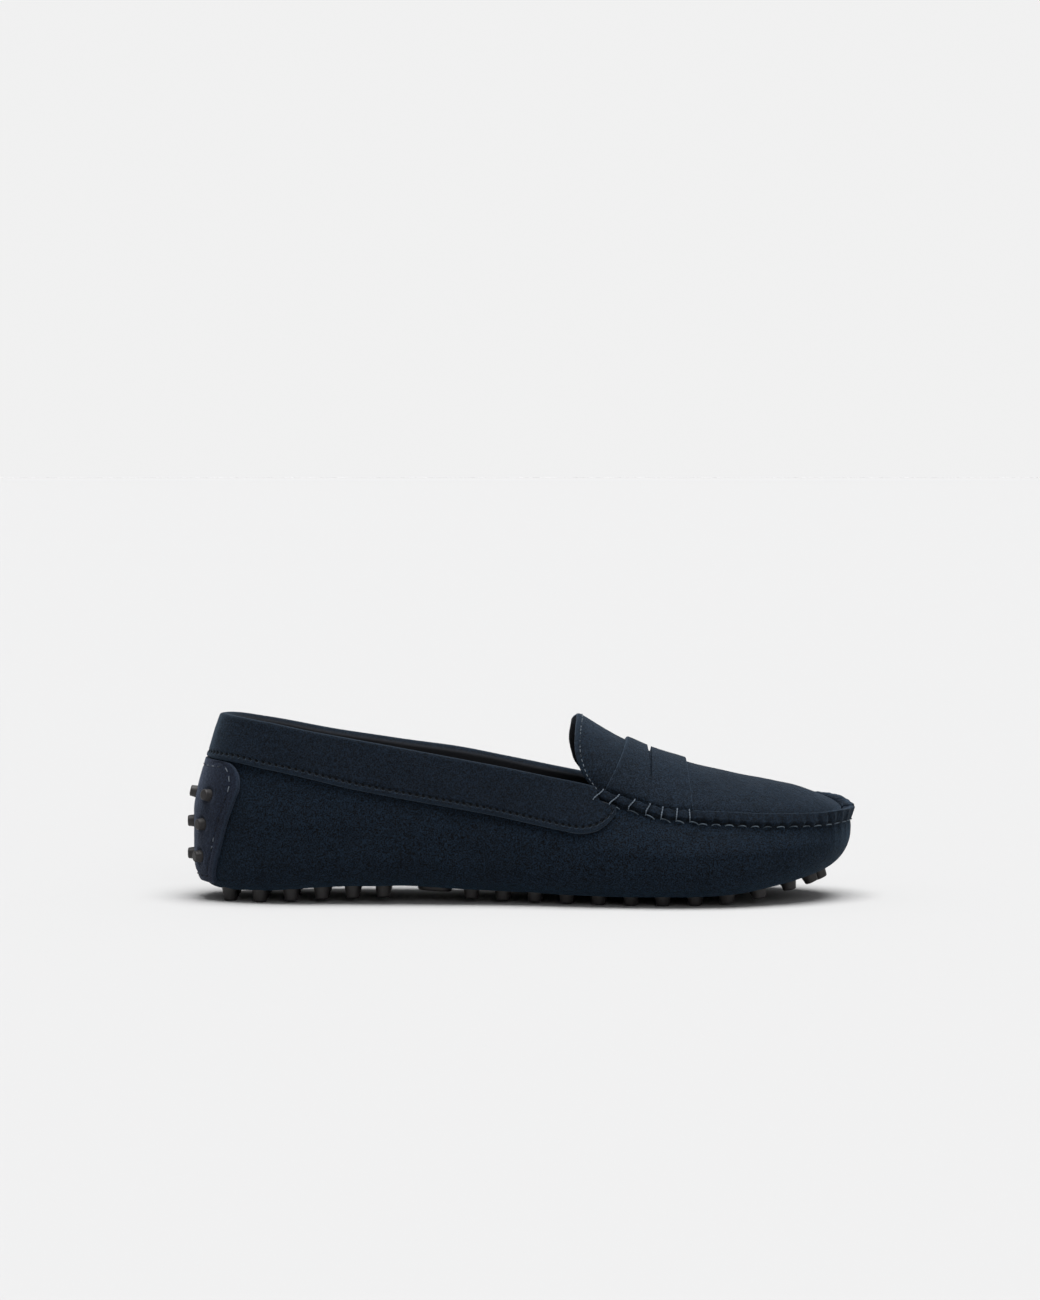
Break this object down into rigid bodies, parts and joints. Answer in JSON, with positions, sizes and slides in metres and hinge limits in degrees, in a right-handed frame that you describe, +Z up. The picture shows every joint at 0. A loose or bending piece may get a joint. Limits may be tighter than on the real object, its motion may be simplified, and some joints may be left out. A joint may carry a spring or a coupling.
{
  "type": "driving moccasin",
  "caption": "Low slip-on driving moccasin for the right foot: hollow suede upper with apron, instep strap and folded collar, standing on rubber pebbles.",
  "frame": {"origin": "on the floor under the middle of the shoe's bounding box", "axes": "+X from heel to toe, -Y the lateral side, +Z up"},
  "size_m": [0.2576, 0.086, 0.0717],
  "materials": {
    "navy_suede": "dark navy suede with a short soft nap",
    "collar_suede": "smoother dark navy suede, folded over the edge",
    "black_rubber": "satin black moulded rubber",
    "dark_lining": "black-brown matt lining leather",
    "seam_thread": "dull blue-grey waxed thread"
  },
  "bodies": {
    "root": {"upper": "navy_suede", "apron": "navy_suede", "saddle_strap": "navy_suede", "seam_ridge": "navy_suede", "collar_band": "collar_suede", "heel_tab": "navy_suede", "insole": "dark_lining", "heel_sole": "black_rubber", "forefoot_sole": "black_rubber", "heel_back_studs": "black_rubber", "arch_plate": "black_rubber"}
  },
  "joints": []
}
